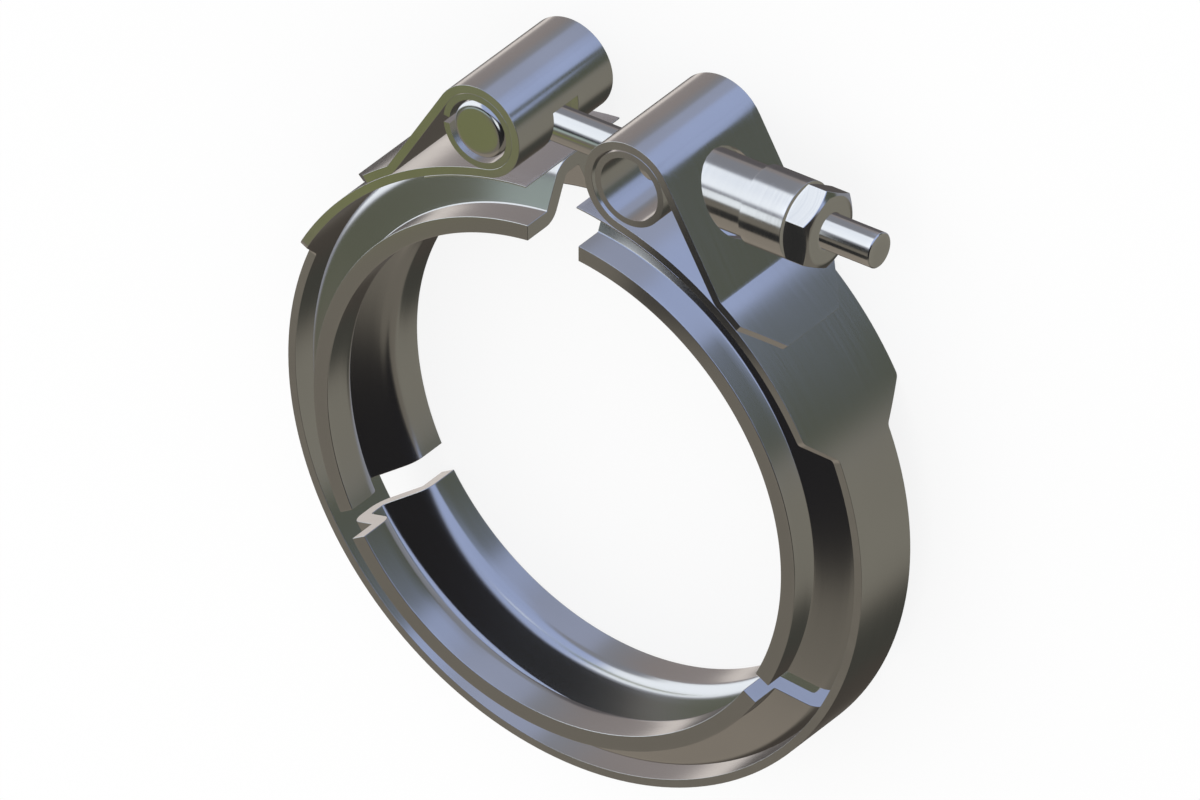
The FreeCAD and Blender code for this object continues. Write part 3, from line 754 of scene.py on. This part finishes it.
def make_steel(name, color, roughness, grain, clouding, wear, stretch, bump, use_surface=True):
    """A metallic material.

    stretch is the grain's scale on each axis of the surface's own map, or of the object.
    """
    material = bpy.data.materials.new(name)
    material.use_nodes = True
    tree = material.node_tree
    shader = tree.nodes["Principled BSDF"]
    shader.inputs["Metallic"].default_value = 1.0
    place = tree.nodes.new("ShaderNodeTexCoord")
    mapping = tree.nodes.new("ShaderNodeMapping")
    mapping.inputs["Scale"].default_value = stretch
    tree.links.new(place.outputs["UV" if use_surface else "Object"], mapping.inputs["Vector"])
    finish = tree.nodes.new("ShaderNodeGroup")
    finish.node_tree = STEEL_FINISH
    finish.inputs["Color"].default_value = (*color, 1)
    finish.inputs["Roughness"].default_value = roughness
    finish.inputs["Grain"].default_value = grain
    finish.inputs["Clouding"].default_value = clouding
    finish.inputs["Wear"].default_value = wear
    tree.links.new(place.outputs["Object"], finish.inputs["Place"])
    edge = tree.nodes.new("ShaderNodeAttribute")
    edge.attribute_name = "worn_edge"
    tree.links.new(edge.outputs["Fac"], finish.inputs["Edge"])
    tree.links.new(mapping.outputs["Vector"], finish.inputs["Grain place"])
    tree.links.new(finish.outputs["Color"], shader.inputs["Base Color"])
    tree.links.new(finish.outputs["Roughness"], shader.inputs["Roughness"])
    relief = tree.nodes.new("ShaderNodeBump")
    relief.inputs["Strength"].default_value = bump
    relief.inputs["Distance"].default_value = RELIEF_DEPTH
    tree.links.new(finish.outputs["Height"], relief.inputs["Height"])
    tree.links.new(relief.outputs["Normal"], shader.inputs["Normal"])
    return material


# ---------------------------------------------------------------- camera

# The picture's axes in the part's frame, and the place it looks at, in millimetres along them
RIGHT = np.array([0.8063, 0.0, -0.5915])
UP = np.array([-0.3245, 0.8361, -0.4423])
TOWARDS = np.array([0.4945, 0.5486, 0.6741])
AIM_RIGHT = 0.283
AIM_UP = 7.11
IMAGE_WIDTH_PX = 1200
PX_PER_MM = 7.07
CAMERA_DISTANCE = 5.0
SENSOR = 36.0


def make_camera():
    """A long lens that frames 1200 px at 7.07 px a millimetre, from the photograph's side."""
    data = bpy.data.cameras.new("camera")
    data.sensor_width = SENSOR
    data.lens = SENSOR * CAMERA_DISTANCE / (IMAGE_WIDTH_PX / PX_PER_MM * MM)
    camera = bpy.data.objects.new("camera", data)
    aim = (AIM_RIGHT * RIGHT + AIM_UP * UP) * MM
    turn = Matrix([RIGHT, UP, TOWARDS]).transposed().to_4x4()
    camera.matrix_world = Matrix.Translation(Vector(aim + TOWARDS * CAMERA_DISTANCE)) @ turn
    bpy.context.scene.collection.objects.link(camera)
    bpy.context.scene.camera = camera


# ---------------------------------------------------------------- studio

# Soft cards of the studio tent, as the clamp mirrors them: bearing and height in degrees
# as the camera sees them (0, 0 is straight back at the camera), the half sizes of
# the card, the softness of its edge, and its colour
TENT_CARDS = [
    ((20, 34), (66, 30), 10, (0.50, 0.60, 0.91)),
    ((112, 72), (36, 7), 8, (0.44, 0.49, 0.66)),
    ((-172, 46), (14, 14), 14, (0.36, 0.32, 0.31)),
    ((173, 34), (5, 18), 6, (0.13, 0.12, 0.125)),
    ((-98, 38), (45, 23), 9, (1.35, 1.42, 1.50)),
    ((92, 22), (10, 18), 7, (0.115, 0.125, 0.09)),
    ((108, -14), (14, 15), 10, (0.28, 0.265, 0.22)),
    ((148, -20), (12, 8), 10, (0.065, 0.065, 0.055)),
    ((172, -35), (14, 22), 10, (0.075, 0.065, 0.055)),
    ((-142, -50), (28, 22), 14, (0.33, 0.29, 0.24)),
    ((-108, -2), (28, 6), 6, (0.15, 0.16, 0.115)),
    ((-4, -34), (62, 27), 7, (0.022, 0.021, 0.022)),
    ((-58, -8), (9, 8), 5, (0.025, 0.025, 0.025)),
    ((-168, 25), (3, 4), 6, (0.98, 0.90, 0.84)),
    ((-178, 6), (9, 9), 7, (0.10, 0.09, 0.085)),
]
TENT_SKY = (0.32, 0.33, 0.37)
TENT_GROUND = (0.22, 0.20, 0.165)
TENT_RADIUS = 2.5
TENT_ROWS = 181
TENT_COLUMNS = 361

# The ground blends into the sky from this far below the level line, over this height,
# both as shares of the tent's radius
HORIZON_BELOW = 0.07
HORIZON_SOFT = 0.08


def smooth(share):
    """A soft step from 0 to 1, level at both ends."""
    return share * share * (3 - 2 * share)


def bare_material(name):
    """A material without its first shader; gives its node tree and its surface socket too."""
    material = bpy.data.materials.new(name)
    material.use_nodes = True
    tree = material.node_tree
    tree.nodes.remove(tree.nodes["Principled BSDF"])
    return material, tree, tree.nodes["Material Output"].inputs["Surface"]


def mirrored_only(name, mesh, material):
    """An object that the metal mirrors, but that no camera, shadow or soft light sees."""
    mesh.materials.append(material)
    card = bpy.data.objects.new(name, mesh)
    bpy.context.scene.collection.objects.link(card)
    card.visible_camera = False
    card.visible_shadow = False
    card.visible_diffuse = False
    return card


def make_tent():
    """A round tent of lit cards; colour blends from one card to the next over a soft edge."""
    bearing = np.radians(np.linspace(-180, 180, TENT_COLUMNS))[None, :]
    height = np.radians(np.linspace(-90, 90, TENT_ROWS))[:, None]
    across = np.sin(bearing) * np.cos(height)
    back = np.cos(bearing) * np.cos(height)
    lift = np.sin(height) + 0 * bearing
    points = TENT_RADIUS * (across[..., None] * RIGHT + back[..., None] * TOWARDS
                            + lift[..., None] * UP)
    horizon = np.clip((lift + HORIZON_BELOW) / HORIZON_SOFT, 0, 1)[..., None]
    color = np.array(TENT_GROUND) * (1 - horizon) + np.array(TENT_SKY) * horizon
    for (card_bearing, card_height), (half_wide, half_high), soft, tint in TENT_CARDS:
        turn = (bearing - np.radians(card_bearing) + np.pi) % (2 * np.pi) - np.pi
        aside = np.degrees(np.abs(turn))
        above = np.abs(np.degrees(height) - card_height)
        outside = np.hypot(np.maximum(aside - half_wide, 0), np.maximum(above - half_high, 0))
        cover = smooth(np.clip(1 - outside / soft, 0, 1))[..., None]
        color = color * (1 - cover) + np.array(tint) * cover
    mesh = bpy.data.meshes.new("studio_tent")
    mesh.from_pydata(points.reshape(-1, 3).tolist(), [],
                     grid_faces(TENT_ROWS, TENT_COLUMNS).tolist())
    layer = mesh.color_attributes.new("cloth", "FLOAT_COLOR", "POINT")
    rgba = np.concatenate([color, np.ones_like(color[..., :1])], axis=-1)
    layer.data.foreach_set("color", rgba.astype(np.float32).ravel())
    material, tree, surface = bare_material("tent_cloth")
    cloth = tree.nodes.new("ShaderNodeAttribute")
    cloth.attribute_name = "cloth"
    glow = tree.nodes.new("ShaderNodeEmission")
    tree.links.new(cloth.outputs["Color"], glow.inputs["Color"])
    tree.links.new(glow.outputs[0], surface)
    tent = mirrored_only("studio_tent", mesh, material)
    tent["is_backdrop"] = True


# Small cards near the clamp, as a photographer sets them to darken, tint or light a few faces:
# black for the nut and the shank, olive for the left loop, teal for the end of the left
# retainer's flange, white for the sleeve's lower side, lavender for the loops' upper right.
# Each has its middle, half width and half height in metres, its soft share and its colour
LAVENDER = (0.50, 0.60, 0.91)
NEAR_CARDS = [
    ("black_card", (0.0118, 0.0253, 0.0392), (0.017, 0, 0), (0, 0.0085, 0.0069), 0.15,
     (0.03, 0.03, 0.03)),
    ("olive_card", (-0.0537, 0.0192, 0.0460), (0.024, 0.018, 0), (-0.0069, 0.0092, 0), 0.15,
     (0.235, 0.25, 0.115)),
    ("teal_card", (-0.0360, 0.0500, 0.0460), (0.0287, 0.0088, 0), (-0.0024, 0.0076, 0), 0.6,
     (0.46, 0.55, 0.52)),
    ("white_card", (0.0034, 0.0604, 0.0469), (0.013, 0, 0), (0, 0.0100, -0.0019), 0.3,
     (1.25, 1.32, 1.38)),
    ("lavender_card_near", (0.0450, 0.0800, -0.0310), (0.014, 0, 0), (0, 0, 0.022), 0.3, LAVENDER),
    ("lavender_card_far", (0.0380, 0.1090, -0.0640), (0.024, 0, 0), (0, 0, 0.036), 0.25, LAVENDER),
]
CARD_POINTS = 41


def make_near_card(name, middle, half_width, half_height, soft, tint):
    """A flat card: its middle plus u half widths and v half heights.

    Its cover falls smoothly to nothing over the soft share next to each edge.
    """
    u = np.linspace(-1, 1, CARD_POINTS)[None, :, None]
    v = np.linspace(-1, 1, CARD_POINTS)[:, None, None]
    points = np.array(middle) + u * np.array(half_width) + v * np.array(half_height)
    cover = smooth(np.clip((1 - np.abs(u)) / soft, 0, 1) * np.clip((1 - np.abs(v)) / soft, 0, 1))
    mesh = bpy.data.meshes.new(name)
    mesh.from_pydata(points.reshape(-1, 3).tolist(), [],
                     grid_faces(CARD_POINTS, CARD_POINTS).tolist())
    layer = mesh.attributes.new("cover", "FLOAT", "POINT")
    layer.data.foreach_set("value", cover.astype(np.float32).ravel())
    material, tree, surface = bare_material(name)
    covered = tree.nodes.new("ShaderNodeAttribute")
    covered.attribute_name = "cover"
    clear = tree.nodes.new("ShaderNodeBsdfTransparent")
    glow = tree.nodes.new("ShaderNodeEmission")
    glow.inputs["Color"].default_value = (*tint, 1)
    blend = tree.nodes.new("ShaderNodeMixShader")
    tree.links.new(covered.outputs["Fac"], blend.inputs["Fac"])
    tree.links.new(clear.outputs[0], blend.inputs[1])
    tree.links.new(glow.outputs[0], blend.inputs[2])
    tree.links.new(blend.outputs[0], surface)
    card = mirrored_only(name, mesh, material)
    card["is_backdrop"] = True


def background_rays(tree):
    """1 for camera, glossy and transmission rays, which see the white background."""
    path = tree.nodes.new("ShaderNodeLightPath")
    seen = math_node(tree, "MAXIMUM", path.outputs["Is Camera Ray"],
                     path.outputs["Is Glossy Ray"])
    return math_node(tree, "MAXIMUM", seen, path.outputs["Is Transmission Ray"])


# The floor in metres, its own tone and roughness, and the share of its white that is its own
FLOOR_HALF = 4.0
FLOOR_BELOW = 0.00002
FLOOR_TONE = (0.9, 0.9, 0.9)
FLOOR_ROUGHNESS = 0.9
FLOOR_OWN_WHITE = 0.85
WORLD_LIGHT = 1.1


def make_floor():
    """A pale floor under the rear edges; most of its white is its own, so its shadow is soft."""
    half, level = FLOOR_HALF, -STRAP_HALF * MM - FLOOR_BELOW
    mesh = bpy.data.meshes.new("floor")
    mesh.from_pydata([(-half, -half, level), (half, -half, level),
                      (half, half, level), (-half, half, level)], [], [(0, 1, 2, 3)])
    material = bpy.data.materials.new("white_floor")
    material.use_nodes = True
    tree = material.node_tree
    shader = tree.nodes["Principled BSDF"]
    shader.inputs["Base Color"].default_value = (*FLOOR_TONE, 1)
    shader.inputs["Roughness"].default_value = FLOOR_ROUGHNESS
    shader.inputs["Specular IOR Level"].default_value = 0.0
    white = tree.nodes.new("ShaderNodeEmission")
    white.inputs["Strength"].default_value = 1.0
    blend = tree.nodes.new("ShaderNodeMixShader")
    share = math_node(tree, "MULTIPLY", background_rays(tree), FLOOR_OWN_WHITE)
    tree.links.new(share, blend.inputs["Fac"])
    tree.links.new(shader.outputs[0], blend.inputs[1])
    tree.links.new(white.outputs[0], blend.inputs[2])
    tree.links.new(blend.outputs[0], tree.nodes["Material Output"].inputs["Surface"])
    mesh.materials.append(material)
    floor = bpy.data.objects.new("floor", mesh)
    bpy.context.scene.collection.objects.link(floor)
    floor.visible_glossy = False
    floor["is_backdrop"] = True


def make_world():
    """White where it is seen or mirrored, and a little over white as soft light on the rest."""
    world = bpy.data.worlds.new("studio")
    world.use_nodes = True
    tree = world.node_tree
    plain = tree.nodes["Background"]
    plain.inputs["Color"].default_value = (1, 1, 1, 1)
    plain.inputs["Strength"].default_value = WORLD_LIGHT
    white = tree.nodes.new("ShaderNodeBackground")
    white.inputs["Color"].default_value = (1, 1, 1, 1)
    blend = tree.nodes.new("ShaderNodeMixShader")
    tree.links.new(background_rays(tree), blend.inputs["Fac"])
    tree.links.new(plain.outputs[0], blend.inputs[1])
    tree.links.new(white.outputs[0], blend.inputs[2])
    tree.links.new(blend.outputs[0], tree.nodes["World Output"].inputs["Surface"])
    bpy.context.scene.world = world


# ---------------------------------------------------------------- making the clamp

make_camera()
make_floor()
make_world()
make_tent()
for near_card in NEAR_CARDS:
    make_near_card(*near_card)
bpy.context.scene.view_settings.view_transform = "Standard"

band_steel = make_steel(
    "polished_strap_steel", color=(0.60, 0.60, 0.60), roughness=0.20, grain=0.08,
    clouding=0.10, wear=0.15, stretch=(40, 2600, 1), bump=0.03)
retainer_steel = make_steel(
    "rolled_section_steel", color=(0.58, 0.58, 0.58), roughness=0.22, grain=0.04,
    clouding=0.06, wear=0.25, stretch=(40, 2600, 1), bump=0.06)
liner_steel = make_steel(
    "liner_sheet_steel", color=(0.60, 0.60, 0.62), roughness=0.26, grain=0.08,
    clouding=0.10, wear=0.6, stretch=(60, 2000, 1), bump=0.2)
tube_steel = make_steel(
    "drawn_tube_steel", color=(0.58, 0.58, 0.58), roughness=0.24, grain=0.08,
    clouding=0.10, wear=0.0, stretch=(900, 900, 90), bump=0.2, use_surface=False)
bolt_steel = make_steel(
    "bright_bolt_steel", color=(0.62, 0.62, 0.62), roughness=0.16, grain=0.08,
    clouding=0.08, wear=0.6, stretch=(120, 1800, 1), bump=0.15)
turned_steel = make_steel(
    "turned_steel", color=(0.62, 0.62, 0.62), roughness=0.16, grain=0.10,
    clouding=0.06, wear=0.6, stretch=(2600, 60, 1), bump=0.3)

make_strap(band_steel)
make_retainer("retainer_right", 30, LOWER_GAP, TOP_GAP, retainer_steel)
make_retainer("retainer_left", 150, TOP_GAP, LOWER_GAP, retainer_steel)
make_retainer("retainer_lower", 270, LOWER_GAP, LOWER_GAP, retainer_steel)
make_liner("liner_left", -1, liner_steel)
make_liner("liner_right", 1, liner_steel)
make_t_bolt(bolt_steel)
make_sleeve(turned_steel)
make_nut(turned_steel)
for node_name in ("split_tube", "trunnion_tube"):
    for slot_of in cad_nodes[node_name].material_slots:
        slot_of.material = tube_steel

# The photograph's metal mirrors its surroundings and never the clamp's other pieces
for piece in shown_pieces():
    piece.visible_glossy = False
